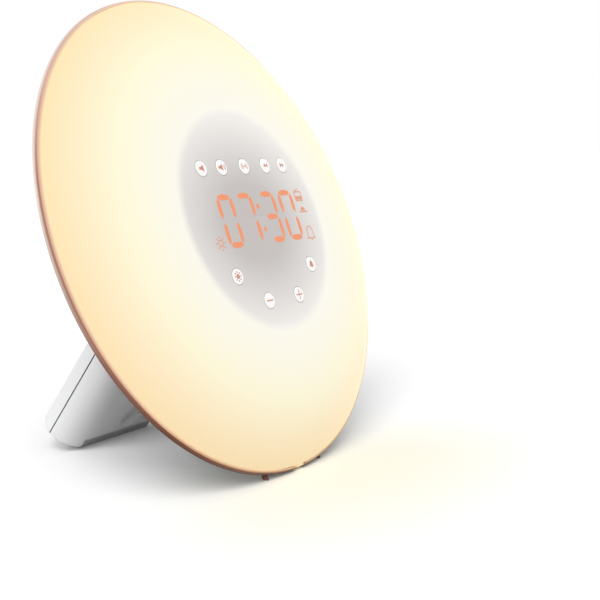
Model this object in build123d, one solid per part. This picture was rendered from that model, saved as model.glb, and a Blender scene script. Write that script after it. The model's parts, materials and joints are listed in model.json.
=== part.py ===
from build123d import *
from math import asin, atan2, cos, sin, sqrt, radians
import os

# Sunrise alarm clock: a tilted lamp disc with a clock display and nine keys,
# standing on two small feet and a hollow rear leg.  Millimetres, +Z up, the
# face looks towards -Y, +X is the right side seen from the front.
#
# Head frame: X right, Y up the face, Z out of the face (w).  w = 0 is the
# rear plane of the trim ring.  Leg frame: Z up along the leg, Y to the rear.

# ------------------------------------------------------------ driving sizes
disc_diameter = 188.0        # outside of the trim ring
head_tilt = 21.0             # degrees the face leans back from upright
ring_floor_gap = 0.3         # lowest point of the ring above the table

ring_side = 2.4              # trim ring, front to back
ring_face = 1.3              # its front band, bevelled outwards
ring_bevel_height = 0.8      # how far the band slopes back
ring_taper = 0.4             # the side leans in towards the front
ring_ledge = 1.0             # thickness of the ledge that carries the diffuser
ring_inset = 3.2             # radial width of ring and ledge together
ring_gap = 5.5               # the ring is open here, at the bottom

dome_rise = 16.0             # front diffuser, from the ring's front plane
crown_radius = 1000.0        # its middle is nearly flat
edge_radius = 72.0           # and curves down to the ring
diffuser_wall = 2.0
diffuser_skirt = 2.0
rear_rise = 26.0             # rear cover, behind the ring
cover_wall = 2.2
cover_setback = 1.0          # cover edge inside the ring's outside
fit_gap = 0.2                # between parts that locate each other

# keys: columns and rows on the face, from its centre
top_row_height = 20.0
top_row_inner = 14.15        # volume up and search down
top_row_outer = 26.1         # volume down and search up
side_key_x = 24.65
side_key_y = -20.8
bottom_key_x = 10.0
bottom_key_y = -31.55
key_radius = 3.0
key_gap = 0.15               # round each cap
key_stand = 0.25             # cap top above the diffuser
key_round = 0.2
key_flange_radius = 3.9
key_flange = 0.9
key_stem_radius = 1.4
key_travel = 0.5

# inside the head
reflector_wall = 1.2
reflector_floor_w = -1.0     # upper face of the reflector floor
reflector_flange = 4.4
hub_radius = 25.6
hub_wall = 1.6
tub_floor_w = 7.0
tub_radius = 38.8
tub_wall = 1.2
tub_rim_gap = 0.4            # tub rim to diffuser
board_thickness = 1.6
display_board_radius = 37.2
display_post_height = 1.2
display_post_radius = 1.6
display_post_circle = 32.0
display_posts = 6
led_board_inner = 27.0
led_board_width = 19.0
led_board_thickness = 1.4
led_circle = 38.0
led_count = 18
led_side = 3.5
led_height = 1.0
digit_block_width = 66.0
digit_block_depth = 25.0
digit_block_height = 4.0
digit_height = 18.5          # between the middle lines of the end strokes
digit_width = 7.8            # between the middle lines of the side strokes
digit_stroke = 1.6
digit_pitch = 12.4
colon_width = 2.6            # added between hours and minutes
figures_x = 0.8              # middle of the four figures
mark_x = 29.4                # side marks, from the middle
mark_rise = 7.4
segment_depth = 1.0          # light guides at the front of the wells
segment_gap = 0.1
display_led_height = 0.7
switch_side = 6.2
switch_height = 1.8
plunger_radius = 1.6
plunger_rise = 0.6
plunger_depth = 0.8          # part of the plunger inside the switch
plunger_gap = 0.1

main_board_length = 104.0
main_board_depth = 32.0
main_board_y = -30.0
main_board_gap = 2.2         # reflector underside to main board
board_post_radius = 2.6
board_post_margin = 0.8      # reflector floor outside the posts
board_screw_edge = 5.0       # from the board's edges
board_screw_reach = 1.4      # into the posts
ribbon_width = 14.0
ribbon_thickness = 0.4
ribbon_y = -18.0
ribbon_slot_gap = 0.8
capacitors = ((-32.0, 4.0, 9.0), (-22.0, 4.0, 9.0), (-13.0, 3.2, 7.0))   # x, radius, height
backup_capacitor = (6.0, 5.5, 4.0)
capacitor_rise = 7.0         # above the board's middle line
chips = ((-24.0, 12.0, 12.0), (-6.0, 9.0, 7.0), (4.0, 5.0, 4.0))         # x, length, depth
chip_height = 1.4
chip_drop = 7.0
tuner_x = 20.0
tuner_drop = 6.0
tuner_length = 18.0
tuner_depth = 14.0
tuner_height = 3.0
jack_edge = 12.0             # from the board's end
jack_side = 9.0
jack_collar_radius = 4.3
jack_bore_radius = 2.8
jack_bore_depth = 9.0
jack_pin_radius = 1.0
jack_sink = 0.4              # collar face below the cover's outside
jack_bore_floor = 1.0        # the pin's tip below the collar face
grommet_x = -40.0
grommet_y = -30.0
grommet_neck_radius = 2.3
grommet_flange_radius = 3.8
grommet_flange = 0.9

speaker_reach = 0.628        # its far edge, as a share of the disc's radius
speaker_radius = 21.0
speaker_collar_wall = 3.2
speaker_flange = 1.2
speaker_rim = 3.0            # flat rim of the basket
speaker_basket_depth = 4.4
speaker_basket_rear = 12.0
speaker_basket_wall = 0.9
speaker_magnet_radius = 11.0
speaker_magnet_height = 3.8
speaker_cone_wall = 0.5
speaker_cone_gap = 0.1       # cone edge above the basket's seat
speaker_cap_rise = 1.5
speaker_cap_radius = 5.0
speaker_clamp_count = 3
speaker_boss_radius = 2.2
speaker_screw = 3.0
clamp_head_radius = 3.2      # wide heads hold the basket's rim
grille_radius = 18.8
grille_ledge = 1.0
grille_wall = 1.2
grille_hole_radius = 1.3
grille_pitch = 4.4
grille_rings = 3

vent_slot_height = 2.0
vent_pitch = 5.0
vent_lengths = (44.0, 38.0, 30.0)
vent_first = 62.0            # middle of the innermost slot from the centre

# fasteners
screw_inset = 16.0           # housing screws inside the disc's edge
screw_reach = 3.0            # into the reflector's bosses
screw_count = 6
screw_shaft_radius = 1.4
screw_head_radius = 2.7
screw_head = 1.6
thread_gap = 0.05
head_gap = 0.3
boss_wall = 1.6
cover_boss_web = 1.0
cover_boss_w = -3.9          # where the cover bosses meet the reflector bosses

# leg
leg_reach = 57.2             # floor contact behind the disc centre
leg_slope = 53.8             # degrees from the floor
leg_length = 140.0           # long enough to reach into the head, trimmed by it
leg_width = 66.0
leg_thickness = 20.8
leg_side_round = 12.3        # half-ellipse sides, half width
leg_wall = 2.2
leg_end_wall = 7.0
leg_end_rake = 5.6           # the end rises to the rear
leg_end_round = 0.8
leg_cover_gap = 0.2
seam_width = 0.4             # line between the two leg shells
seam_depth = 1.0
spigot_length = 9.0
spigot_wall = 2.0
leg_screws = ((20.0, 24.0), (20.0, 50.0))
leg_boss_radius = 3.4
screw_seat_sink = 1.0        # head seats inside the shell's wall
strip_half_width = 21.3
strip_depth = 4.4
strip_height = 4.5
strip_drop = 2.6             # front edge below the leg's end
strip_setback = 2.0          # behind the leg's front face
strip_gap = 0.15
notch_half_width = 23.5      # the notch that shows the strip
recess_radius = 6.0          # round finger recess in the front face
recess_height = 11.8
recess_depth = 3.0
foot_x = 18.0
foot_w = -2.2                # middle of each foot behind the ring
foot_radius = 1.1
foot_seat = 3.4              # length inside the cover
foot_length = 10.0           # before the table trims it

# ------------------------------------------------------------ derived sizes
disc_radius = disc_diameter / 2
ring_bore = disc_radius - ring_inset
lens_radius = disc_radius - ring_face - fit_gap
skirt_radius = ring_bore - fit_gap
ring_shoulder = ring_side - ring_bevel_height
cover_radius = disc_radius - cover_setback


def cap_radius(rim, rise):
    """Radius of the sphere whose cap has this rim and rise."""
    return (rim ** 2 + rise ** 2) / (2 * rise)


dome_top = ring_side + dome_rise
crown_centre = dome_top - crown_radius
rear_sphere = cap_radius(cover_radius, rear_rise)
rear_centre = rear_sphere - rear_rise
screw_circle = disc_radius - screw_inset
speaker_y = speaker_reach * disc_radius - speaker_radius
board_screw_x = main_board_length / 2 - board_screw_edge
board_screw_y = main_board_depth / 2 - board_screw_edge
board_screw_circle = sqrt(board_screw_x ** 2 + (board_screw_y - main_board_y) ** 2)
reflector_floor_radius = board_screw_circle + board_post_radius + board_post_margin
jack_x = main_board_length / 2 - jack_edge


def edge_arc_centre():
    """Centre of the dome's edge arc, which passes through the rim and touches the crown."""
    apart = crown_radius - edge_radius
    rise = ring_side - crown_centre
    reach = sqrt(lens_radius ** 2 + rise ** 2)
    along = (apart ** 2 - edge_radius ** 2 + reach ** 2) / (2 * reach)
    aside = sqrt(apart ** 2 - along ** 2)
    return ((along * lens_radius - aside * rise) / reach,
            crown_centre + (along * rise + aside * lens_radius) / reach)


edge_x, edge_w = edge_arc_centre()
crown_share = edge_x / (crown_radius - edge_radius)       # sine of the crown's half angle


def dome_w(radius, inset=0.0):
    """Height of the diffuser's outside, or of a surface inset from it."""
    if radius < (crown_radius - inset) * crown_share:
        return crown_centre + sqrt((crown_radius - inset) ** 2 - radius ** 2)
    return edge_w + sqrt((edge_radius - inset) ** 2 - (radius - edge_x) ** 2)


def rear_w(radius, inset=0.0):
    """Depth of the rear cover's outside, or of a surface inset from it."""
    return rear_centre - sqrt((rear_sphere - inset) ** 2 - radius ** 2)


head_height = disc_radius * cos(radians(head_tilt)) + ring_floor_gap
head = Pos(0, 0, head_height) * Rot(90 - head_tilt, 0, 0)

leg_half = leg_thickness / 2
slope_sin, slope_cos = sin(radians(leg_slope)), cos(radians(leg_slope))
strip_front = strip_setback - leg_half
leg_origin_y = leg_reach - strip_front * slope_sin - strip_drop * slope_cos
leg_origin_z = -strip_front * slope_cos + strip_drop * slope_sin
leg = Pos(0, leg_origin_y, leg_origin_z) * Rot(90 - leg_slope, 0, 0)

keys = {
    "volume_down": (-top_row_outer, top_row_height),
    "volume_up": (-top_row_inner, top_row_height),
    "radio": (0.0, top_row_height),
    "search_down": (top_row_inner, top_row_height),
    "search_up": (top_row_outer, top_row_height),
    "light": (-side_key_x, side_key_y),
    "alarm": (side_key_x, side_key_y),
    "minus": (-bottom_key_x, bottom_key_y),
    "plus": (bottom_key_x, bottom_key_y),
}

reflector_under = reflector_floor_w - reflector_wall
display_board_w = tub_floor_w + tub_wall + display_post_height
display_face_w = display_board_w + board_thickness
plunger_top_w = display_face_w + switch_height + plunger_rise
main_front_w = reflector_under - main_board_gap
main_rear_w = main_front_w - board_thickness

parts = {}


# ------------------------------------------------------------ small helpers
def disc(radius, low, high, x=0.0, y=0.0):
    """Upright cylinder between two heights."""
    return Pos(x, y, (low + high) / 2) * Cylinder(radius, high - low)


def tube(outer, inner, low, high, x=0.0, y=0.0):
    return disc(outer, low, high, x, y) - disc(inner, low - 1, high + 1, x, y)


def block(size_x, size_y, low, high, x=0.0, y=0.0):
    """Upright box between two heights."""
    return Pos(x, y, (low + high) / 2) * Box(size_x, size_y, high - low)


def turned(points):
    """Solid of revolution of a closed outline of (radius, height) points."""
    outline = Polyline(*[(r, 0, w) for r, w in points], close=True)
    return revolve(make_face(outline), Axis.Z)


def ball(radius, centre):
    return Pos(0, 0, centre) * Sphere(radius)


def dome_body(inset, low):
    """What lies under the dome, or under a surface inset from it, down to a height."""
    crown, edge = crown_radius - inset, edge_radius - inset
    join = asin(crown_share)
    rim = atan2(lens_radius - edge_x, ring_side - edge_w)

    def on_crown(angle):
        return crown * sin(angle), 0, crown_centre + crown * cos(angle)

    def on_edge(angle):
        return edge_x + edge * sin(angle), 0, edge_w + edge * cos(angle)

    top, end = on_crown(0), on_edge(rim)
    outline = ThreePointArc(top, on_crown(join / 2), on_crown(join))
    outline += ThreePointArc(on_crown(join), on_edge((join + rim) / 2), end)
    outline += Polyline(end, (end[0], 0, low), (0, 0, low), top)
    return revolve(make_face(outline), Axis.Z)


def screw(x, y, seat, tip, head_radius=screw_head_radius, shaft_radius=screw_shaft_radius,
          head_height_=screw_head):
    """Screw with its head's bearing face at seat and its tip at tip."""
    away = -1 if tip > seat else 1
    low, high = sorted((seat, seat + away * head_height_))
    body = disc(head_radius, low, high, x, y)
    low, high = sorted((seat, tip))
    return body + disc(shaft_radius, low, high, x, y)


def around(count, radius, first=0.0):
    """Points evenly spaced on a circle, first angle in degrees."""
    for i in range(count):
        angle = radians(first + 360.0 * i / count)
        yield radius * cos(angle), radius * sin(angle)


def group(place, shapes):
    """Separate solids, each put in its place, as one node."""
    return Compound([solid for shape in shapes for solid in (place * shape).solids()])


# ------------------------------------------------------------ front of the head
def make_ring():
    lip = disc_radius - ring_face
    ring = turned([(ring_bore, 0), (disc_radius, 0), (disc_radius - ring_taper, ring_shoulder),
                   (lip, ring_side), (lip, ring_ledge), (ring_bore, ring_ledge)])
    return ring - block(ring_gap, 4 * ring_inset, -1, ring_side + 1, 0, -disc_radius)


def make_diffuser():
    """Domed shell with a locating skirt and a tab in the ring's gap."""
    inner = skirt_radius - diffuser_skirt
    shell = dome_body(0, ring_ledge) + disc(skirt_radius, fit_gap, ring_ledge)
    shell -= dome_body(diffuser_wall, 0) & disc(inner, 0, dome_top)
    tab = disc(disc_radius - ring_taper - fit_gap, fit_gap, ring_shoulder)
    tab -= disc(skirt_radius - fit_gap, 0, ring_side)
    tab &= block(ring_gap - 2 * fit_gap, 4 * ring_inset, 0, ring_side, 0, -disc_radius)
    shell += tab
    for x, y in keys.values():
        shell -= disc(key_radius + key_gap, 0, dome_top + 1, x, y)
    return shell


def make_key(x, y):
    """Round cap whose top follows the dome, a flange behind the wall and a stem."""
    reach = sqrt(x ** 2 + y ** 2) + key_flange_radius
    flange_top = dome_w(reach, diffuser_wall) - fit_gap
    cap = disc(key_radius, flange_top - key_flange, dome_top + 2 * key_stand, x, y)
    cap &= dome_body(-key_stand, 0)
    cap = fillet(cap.faces().sort_by(Axis.Z)[-1].edges(), key_round)
    cap += disc(key_flange_radius, flange_top - key_flange, flange_top, x, y)
    return cap + disc(key_stem_radius, plunger_top_w, flange_top - key_flange, x, y)


def make_plunger(x, y):
    return disc(plunger_radius, plunger_top_w - plunger_rise - plunger_depth, plunger_top_w, x, y)


def make_switches():
    well = plunger_radius + plunger_gap
    depth = plunger_depth + key_travel + plunger_gap
    for x, y in keys.values():
        case = block(switch_side, switch_side, display_face_w, display_face_w + switch_height, x, y)
        top = display_face_w + switch_height
        yield case - disc(well, top - depth, top + 1, x, y)


# ------------------------------------------------------------ display
def segment_outlines():
    """Seven strokes of each figure, the colon and the side marks: x, y, width, height."""
    arm = digit_height / 2
    for step in (-1.5, -0.5, 0.5, 1.5):
        column = figures_x + step * digit_pitch + (colon_width if step > 0 else -colon_width) / 2
        for row in (-1, 0, 1):
            yield column, row * arm, digit_width - 2 * digit_stroke, digit_stroke
        for row in (-0.5, 0.5):
            for side in (-0.5, 0.5):
                yield column + side * digit_width, row * arm, digit_stroke, arm - 2 * digit_stroke
    for row in (-0.5, 0.5):
        yield figures_x, row * arm, digit_stroke, digit_stroke
    for row in (-1, 1):
        yield mark_x, row * mark_rise, 3 * digit_stroke, 2 * digit_stroke
    yield -mark_x, -mark_rise, 3 * digit_stroke, 3 * digit_stroke


def make_digit_block():
    top = display_face_w + digit_block_height
    body = block(digit_block_width, digit_block_depth, display_face_w, top)
    wells = [block(w, h, display_face_w - 1, top + 1, x, y) for x, y, w, h in segment_outlines()]
    return body - wells


def make_segments():
    top = display_face_w + digit_block_height
    for x, y, w, h in segment_outlines():
        yield block(w - 2 * segment_gap, h - 2 * segment_gap, top - segment_depth, top, x, y)


def make_display_leds():
    side = digit_stroke - 4 * segment_gap
    for x, y, w, h in segment_outlines():
        yield block(side, side, display_face_w, display_face_w + display_led_height, x, y)


def make_tub():
    rim = dome_w(tub_radius, diffuser_wall) - tub_rim_gap
    tub = disc(tub_radius, tub_floor_w, rim)
    tub -= disc(tub_radius - tub_wall, tub_floor_w + tub_wall, rim + 1)
    low = tub_floor_w + tub_wall
    for x, y in around(display_posts, display_post_circle, 30):
        tub += disc(display_post_radius, low, display_board_w, x, y)
    slot = block(ribbon_width + ribbon_slot_gap, ribbon_thickness + ribbon_slot_gap,
                 tub_floor_w - 1, low + 1, 0, ribbon_y)
    return tub - slot


# ------------------------------------------------------------ lamp and boards
def make_reflector():
    rim = skirt_radius - diffuser_skirt - fit_gap
    flange = rim - reflector_flange
    low, high = reflector_under, reflector_floor_w
    dish = turned([(hub_radius - hub_wall, low), (reflector_floor_radius, low), (flange, fit_gap),
                   (rim, fit_gap), (rim, fit_gap + reflector_wall), (flange, fit_gap + reflector_wall),
                   (reflector_floor_radius, high), (hub_radius, high), (hub_radius, tub_floor_w),
                   (hub_radius - hub_wall, tub_floor_w)])
    for x, y in around(screw_count, screw_circle):
        dish += tube(screw_shaft_radius + boss_wall + thread_gap, screw_shaft_radius + thread_gap,
                     cover_boss_w, 0, x, y)
    for x, y in board_screw_points():
        post = tube(board_post_radius, screw_shaft_radius + thread_gap, main_front_w, low, x, y)
        dish += post
    return dish


def board_screw_points():
    for x in (-board_screw_x, board_screw_x):
        for y in (-board_screw_y, board_screw_y):
            yield x, main_board_y + y


def make_led_board():
    outer = led_board_inner + led_board_width
    return tube(outer, led_board_inner, reflector_floor_w, reflector_floor_w + led_board_thickness)


def make_leds():
    low = reflector_floor_w + led_board_thickness
    for i in range(led_count):
        place = Rot(0, 0, 360.0 * i / led_count)
        yield place * block(led_side, led_side, low, low + led_height, led_circle, 0)


def make_main_board():
    board = block(main_board_length, main_board_depth, main_rear_w, main_front_w, 0, main_board_y)
    for x, y in board_screw_points():
        board -= disc(screw_shaft_radius + thread_gap, main_rear_w - 1, main_front_w + 1, x, y)
    return board


def make_capacitor(x, radius, height):
    """Upright can on the rear of the main board."""
    return disc(radius, main_rear_w - height, main_rear_w, x, main_board_y + capacitor_rise)


def make_chip(x, length, depth):
    return block(length, depth, main_rear_w - chip_height, main_rear_w, x, main_board_y - chip_drop)


def make_tuner():
    low = main_rear_w - tuner_height
    return block(tuner_length, tuner_depth, low, main_rear_w, tuner_x, main_board_y - tuner_drop)


def make_jack():
    """Square-bodied barrel inlet with a round collar that reaches the cover."""
    distance = sqrt(jack_x ** 2 + main_board_y ** 2)
    face = rear_w(distance) + jack_sink
    shoulder = rear_w(distance + jack_side, cover_wall)
    body = block(jack_side, jack_side, shoulder, main_rear_w, jack_x, main_board_y)
    body += disc(jack_collar_radius, face, shoulder, jack_x, main_board_y)
    body -= disc(jack_bore_radius, face - 1, face + jack_bore_depth, jack_x, main_board_y)
    pin_low = face + jack_bore_floor
    return body + disc(jack_pin_radius, pin_low, face + jack_bore_depth, jack_x, main_board_y)


# ------------------------------------------------------------ speaker
def speaker_seat_w():
    """Flat end of the speaker collar, just above the cover's inside all round."""
    return rear_w(speaker_y + speaker_radius, cover_wall) + 0.8


def at_speaker(shape):
    return Pos(0, speaker_y, 0) * shape


def make_basket():
    seat = speaker_seat_w()
    top = seat + speaker_flange
    rear = top + speaker_basket_depth
    wall, inner = speaker_basket_wall, speaker_radius - speaker_rim
    shape = turned([(inner - wall, seat), (speaker_radius, seat), (speaker_radius, top), (inner, top),
                    (speaker_basket_rear, rear), (0, rear), (0, rear - wall),
                    (speaker_basket_rear - wall, rear - wall)])
    return at_speaker(shape)


def make_magnet():
    low = speaker_seat_w() + speaker_flange + speaker_basket_depth
    return at_speaker(disc(speaker_magnet_radius, low, low + speaker_magnet_height))


def make_cone():
    """Paper cone from the basket's edge to a domed cap."""
    seat = speaker_seat_w()
    edge = speaker_radius - speaker_rim - 2 * speaker_basket_wall - fit_gap
    wall = speaker_cone_wall
    deep = seat + speaker_flange + speaker_basket_depth - speaker_basket_wall - wall - fit_gap
    small, low = speaker_cap_radius, seat + speaker_cone_gap
    shape = turned([(0, deep - speaker_cap_rise), (small, deep - 2 * wall), (edge, low),
                    (edge, low + wall), (small, deep), (0, deep)])
    return at_speaker(shape)


def speaker_clamp_points():
    circle = speaker_radius + speaker_boss_radius + fit_gap
    for x, y in around(speaker_clamp_count, circle, 270):
        yield x, speaker_y + y


def make_grille():
    """Round insert that continues the cover's sphere, pierced with rings of holes."""
    plate = ball(rear_sphere, rear_centre) - ball(rear_sphere - grille_wall, rear_centre)
    plate &= disc(grille_radius - fit_gap, -rear_rise - 1, 0, 0, speaker_y)
    holes = [disc(grille_hole_radius, -rear_rise - 1, 0, 0, speaker_y)]
    for ring in range(1, grille_rings + 1):
        for x, y in around(6 * ring, grille_pitch * ring):
            holes.append(disc(grille_hole_radius, -rear_rise - 1, 0, x, speaker_y + y))
    return plate - holes


# ------------------------------------------------------------ leg, in its own frame
def leg_section(inset=0.0):
    """Flat middle with half-ellipse sides."""
    flat = leg_width / 2 - leg_side_round
    section = Rectangle(2 * flat, leg_thickness - 2 * inset)
    for side in (-flat, flat):
        section += Pos(side, 0) * Ellipse(leg_side_round - inset, leg_half - inset)
    return section


def below_plane(y, z, rise):
    """Everything under a plane that rises to the rear, in degrees, from this front edge."""
    return Pos(0, y, z) * Rot(rise, 0, 0) * block(3 * leg_width, 3 * leg_width, -leg_width, 0)


def leg_bar(inset=0.0, lift=0.0):
    """Bar of the leg's section with its raked lower end."""
    bar = Pos(0, 0, -leg_half) * extrude(leg_section(inset), leg_length)
    return bar - below_plane(-leg_half, lift, leg_end_rake)


def recess_plug(radius, depth):
    """Round plug from the leg's front face to this depth behind it."""
    return across_leg(radius, -leg_half, depth - leg_half, 0, recess_height)


def leg_screw_points():
    for x, height in leg_screws:
        yield from ((x, height), (-x, height))


def across_leg(radius, low, high, x, height):
    """Cylinder along the leg's thickness."""
    return Pos(x, (low + high) / 2, height) * Rot(90, 0, 0) * Cylinder(radius, high - low)


def make_leg_shells():
    outer = leg_bar()
    outer = fillet(outer.faces().sort_by(Axis.Z)[0].edges(), leg_end_round)
    shell = outer - leg_bar(leg_wall, leg_end_wall)
    shell += recess_plug(recess_radius + leg_wall, recess_depth + leg_wall) & leg_bar()
    shell -= recess_plug(recess_radius, recess_depth)
    groove = Pos(0, 0, -leg_half) * extrude(leg_section(-seam_depth) - leg_section(seam_depth), leg_length)
    groove &= Box(2 * leg_width, seam_width, 2 * leg_length)
    shell -= groove
    inside = leg_half - leg_wall
    into_wall = leg_wall / 4
    for x, height in leg_screw_points():
        shell += across_leg(leg_boss_radius, -inside - into_wall, inside + into_wall, x, height)
    seat = leg_screw_seat()
    for x, height in leg_screw_points():
        shell -= across_leg(screw_head_radius + head_gap, seat, leg_half + 1, x, height)
        shell -= across_leg(screw_shaft_radius + thread_gap, into_wall - inside, seat + 1, x, height)
    pocket_depth = strip_setback + strip_depth + strip_gap
    shell -= block(2 * notch_half_width, 2 * pocket_depth, -leg_half, strip_height, 0, -leg_half)
    half_space = Box(4 * leg_width, 4 * leg_width, 4 * leg_length)
    front = shell & (Pos(0, -2 * leg_width, 0) * half_space)
    rear = shell & (Pos(0, 2 * leg_width, 0) * half_space)
    return front, rear


def leg_screw_seat():
    return leg_half - leg_wall - screw_seat_sink


def make_leg_screws():
    seat = leg_screw_seat()
    for x, height in leg_screw_points():
        yield Pos(x, 0, height) * Rot(90, 0, 0) * screw(0, 0, -seat, seat)


def make_strip():
    middle = strip_front + strip_depth / 2
    bar = block(2 * strip_half_width, strip_depth, -leg_half, strip_height, 0, middle)
    return bar - below_plane(strip_front, -strip_drop, leg_slope - 90)


# ------------------------------------------------------------ rear cover, placed
def make_rear_cover():
    below = disc(disc_radius, -rear_rise - 1, 0)
    shell = (ball(rear_sphere, rear_centre) & below) - ball(rear_sphere - cover_wall, rear_centre)
    inner_ball = ball(rear_sphere - cover_wall, rear_centre)
    outer_ball = ball(rear_sphere, rear_centre)
    # screw bosses with sunk heads
    for x, y in around(screw_count, screw_circle):
        reach = screw_head_radius + head_gap + boss_wall
        shell += disc(reach, -rear_rise, cover_boss_w, x, y) & outer_ball
        shell -= disc(reach - boss_wall, -rear_rise - 1, cover_boss_w - cover_boss_web, x, y)
        shell -= disc(screw_shaft_radius + thread_gap, -rear_rise, 0, x, y)
    # speaker collar and clamp bosses
    seat = speaker_seat_w()
    collar = tube(speaker_radius, speaker_radius - speaker_collar_wall, -rear_rise, seat, 0, speaker_y)
    shell += collar & outer_ball
    for x, y in speaker_clamp_points():
        boss = tube(speaker_boss_radius, screw_shaft_radius + thread_gap, rear_w(0) + cover_wall,
                    seat + speaker_flange, x, y)
        shell += boss & inner_ball
    grille_hole = disc(grille_radius, -rear_rise - 1, seat, 0, speaker_y)
    shell -= grille_hole - ball(rear_sphere - grille_wall, rear_centre)
    shell -= disc(grille_radius - grille_ledge, -rear_rise - 1, seat + 1, 0, speaker_y)
    # inlet, antenna lead and air slots
    shell -= disc(jack_collar_radius + fit_gap, -rear_rise, 0, jack_x, main_board_y)
    shell -= disc(grommet_neck_radius, -rear_rise, 0, grommet_x, grommet_y)
    for side in (-1, 1):
        for i, length in enumerate(vent_lengths):
            y = side * (vent_first + i * vent_pitch)
            slot = Pos(0, y) * SlotOverall(length, vent_slot_height)
            shell -= Pos(0, 0, -rear_rise) * extrude(slot, rear_rise)
    shell = head * shell
    # spigot for the leg, with the opening for wires through it
    spigot = Pos(0, 0, leg_length / 4) * extrude(leg_section(leg_wall + fit_gap), leg_length / 2)
    reach = head * ball(rear_sphere + spigot_length, rear_centre)
    spigot = (leg * spigot) & reach
    bore = leg * extrude(leg_section(leg_wall + fit_gap + spigot_wall), leg_length)
    shell += (spigot - head * inner_ball) - bore
    shell -= bore & (head * block(disc_diameter, disc_diameter, -2 * rear_rise, -rear_rise / 2))
    for x in (-foot_x, foot_x):
        shell -= foot_pin(x, foot_radius + thread_gap)
    return shell


def foot_pin(x, radius):
    """Cylinder up the face, from the table into the cover's rim."""
    top = -sqrt(disc_radius ** 2 - foot_x ** 2) + foot_seat
    pin = Pos(x, top - foot_length / 2, foot_w) * Rot(90, 0, 0) * Cylinder(radius, foot_length)
    return head * pin


def make_foot(x):
    room = Box(disc_diameter, disc_diameter, disc_diameter)
    return foot_pin(x, foot_radius) & (Pos(0, 0, disc_radius) * room)


def make_grommet():
    ball_out = ball(rear_sphere + grommet_flange, rear_centre)
    inner = rear_w(sqrt(grommet_x ** 2 + grommet_y ** 2), cover_wall) + 1
    flange = disc(grommet_flange_radius, -rear_rise - 2, inner, grommet_x, grommet_y) & ball_out
    flange -= ball(rear_sphere, rear_centre)
    neck = disc(grommet_neck_radius - thread_gap, -rear_rise, inner, grommet_x, grommet_y)
    return flange + (neck & ball_out)


# ------------------------------------------------------------ assembly
def build():
    parts["trim_ring"] = head * make_ring()
    parts["front_diffuser"] = head * make_diffuser()
    parts["rear_cover"] = make_rear_cover()
    parts["speaker_grille"] = head * make_grille()
    parts["reflector"] = head * make_reflector()
    parts["led_board"] = head * make_led_board()
    parts["led_chips"] = group(head, make_leds())
    parts["display_tub"] = head * make_tub()
    board = disc(display_board_radius, display_board_w, display_face_w)
    parts["display_board"] = head * board
    parts["digit_block"] = head * make_digit_block()
    parts["segment_guides"] = group(head, make_segments())
    parts["display_leds"] = group(head, make_display_leds())
    parts["key_switches"] = group(head, make_switches())
    for name, (x, y) in keys.items():
        parts[name + "_button"] = head * make_key(x, y)
        parts[name + "_plunger"] = head * make_plunger(x, y)
    ribbon = block(ribbon_width, ribbon_thickness, main_front_w, display_board_w, 0, ribbon_y)
    parts["display_ribbon"] = head * ribbon
    parts["main_board"] = head * make_main_board()
    parts["capacitors"] = group(head, [make_capacitor(*size) for size in capacitors])
    parts["backup_capacitor"] = head * make_capacitor(*backup_capacitor)
    parts["control_chips"] = group(head, [make_chip(*size) for size in chips])
    parts["tuner_module"] = head * make_tuner()
    parts["power_inlet"] = head * make_jack()
    parts["antenna_grommet"] = head * make_grommet()
    parts["speaker_basket"] = head * make_basket()
    parts["speaker_magnet"] = head * make_magnet()
    parts["speaker_cone"] = head * make_cone()
    seat = speaker_seat_w() + speaker_flange
    clamps = [screw(x, y, seat, seat - speaker_screw, clamp_head_radius)
              for x, y in speaker_clamp_points()]
    parts["speaker_screws"] = group(head, clamps)
    tip = main_front_w + board_screw_reach
    parts["board_screws"] = group(head, [screw(x, y, main_rear_w, tip) for x, y in board_screw_points()])
    seat, tip = cover_boss_w - cover_boss_web, cover_boss_w + screw_reach
    housing = [screw(x, y, seat, tip) for x, y in around(screw_count, screw_circle)]
    parts["housing_screws"] = group(head, housing)
    front, rear = make_leg_shells()
    keep_out = head * ball(rear_sphere + leg_cover_gap, rear_centre)
    parts["leg_front_shell"] = leg * front - keep_out
    parts["leg_rear_shell"] = leg * rear - keep_out
    parts["leg_foot_strip"] = leg * make_strip()
    parts["leg_screws"] = group(leg, make_leg_screws())
    parts["front_foot_left"] = make_foot(-foot_x)
    parts["front_foot_right"] = make_foot(foot_x)


def origin_shift():
    """Put the origin on the table under the middle of the whole clock."""
    low = min(part.bounding_box().min.Y for part in parts.values())
    high = max(part.bounding_box().max.Y for part in parts.values())
    return Pos(0, -(low + high) / 2, 0)


build()
shift = origin_shift()
os.makedirs("parts", exist_ok=True)
for name, part in parts.items():
    export_step(shift * part, os.path.join("parts", name + ".step"))
print("disc centre at y", shift.position.Y, "z", head_height, "nodes", len(parts))
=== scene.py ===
"""Sunrise alarm clock: finishes, lit figures, key marks and the studio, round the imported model.

The model's own pieces keep their shape and get a finish by their material slot.
New pieces are strokes carried along paths on the face.  Metres, +Z up, the face looks to -Y.
"""

import json
import math

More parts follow.
